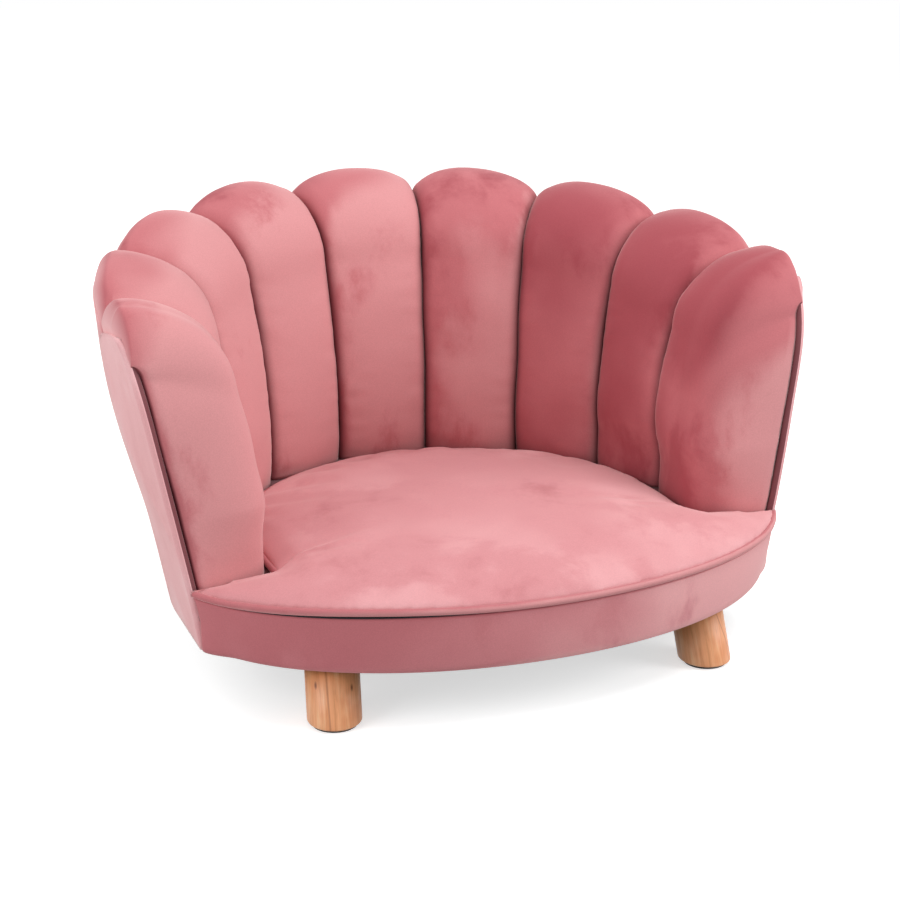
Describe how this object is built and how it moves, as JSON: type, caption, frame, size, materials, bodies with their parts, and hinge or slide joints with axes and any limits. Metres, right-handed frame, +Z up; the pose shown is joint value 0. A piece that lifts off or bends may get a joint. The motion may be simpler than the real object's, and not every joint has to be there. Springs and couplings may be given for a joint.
{
  "type": "dog sofa bed",
  "caption": "Low tub sofa bed for a dog, with a flared scalloped back of stuffed velvet channels, a loose piped seat cushion, a padded front border and short splayed wooden legs",
  "frame": {"origin": "on the floor, at the middle of the overall box", "axes": "+X to the sofa's left-hand side as one sits in it, which is the picture's right; +Y to the back; +Z up; the seat opens towards -Y"},
  "size_m": [0.6908, 0.5892, 0.414],
  "materials": {
    "channel_velvet": "crushed velvet over soft stuffing",
    "cover_velvet": "velvet over wadding",
    "border_velvet": "velvet over wadding",
    "seat_velvet": "crushed velvet",
    "piping_velvet": "self piping in velvet",
    "leg_wood": "clear satin varnish on pale wood",
    "pine": "sawn",
    "plywood": "sanded plywood",
    "hardboard": "hardboard",
    "foam": "open-cell foam",
    "lining": "non-woven lining",
    "felt": "pressed felt",
    "zip": "nylon coil zip",
    "steel": "zinc plated"
  },
  "bodies": {
    "frame": {"base_board": "plywood", "tub_rail": "pine", "front_rail": "pine", "batten_left": "pine", "batten_right": "pine", "deck_board": "plywood", "deck_lining": "lining", "dust_cover": "lining", "outer_board": "hardboard", "inner_board": "hardboard", "top_rail": "pine", "rib_back_left": "pine", "rib_back_right": "pine", "rib_mid_left": "pine", "rib_mid_right": "pine", "rib_side_left": "pine", "rib_side_right": "pine", "rib_arm_left": "pine", "rib_arm_right": "pine", "arm_post_left": "pine", "arm_post_right": "pine", "channel_centre": "channel_velvet", "channel_left_1": "channel_velvet", "channel_left_2": "channel_velvet", "channel_left_3": "channel_velvet", "channel_left_4": "channel_velvet", "channel_right_1": "channel_velvet", "channel_right_2": "channel_velvet", "channel_right_3": "channel_velvet", "channel_right_4": "channel_velvet", "outer_cover": "cover_velvet", "front_border": "border_velvet", "leg_front_left": "leg_wood", "leg_front_right": "leg_wood", "leg_rear_left": "leg_wood", "leg_rear_right": "leg_wood", "foot_front_left": "felt", "foot_front_right": "felt", "foot_rear_left": "felt", "foot_rear_right": "felt", "bolt_front_left": "steel", "bolt_front_right": "steel", "bolt_rear_left": "steel", "bolt_rear_right": "steel", "tee_nut_front_left": "steel", "tee_nut_front_right": "steel", "tee_nut_rear_left": "steel", "tee_nut_rear_right": "steel", "rail_screws": "steel"},
    "seat_cushion": {"cushion_top": "seat_velvet", "cushion_base": "lining", "cushion_foam": "foam", "cushion_piping": "piping_velvet", "cushion_zip": "zip"}
  },
  "joints": [
    {"name": "cushion_slide", "type": "slide", "parent": "frame", "child": "seat_cushion", "axis": [0, -1, 0], "range_m": [0, 0.12]}
  ]
}
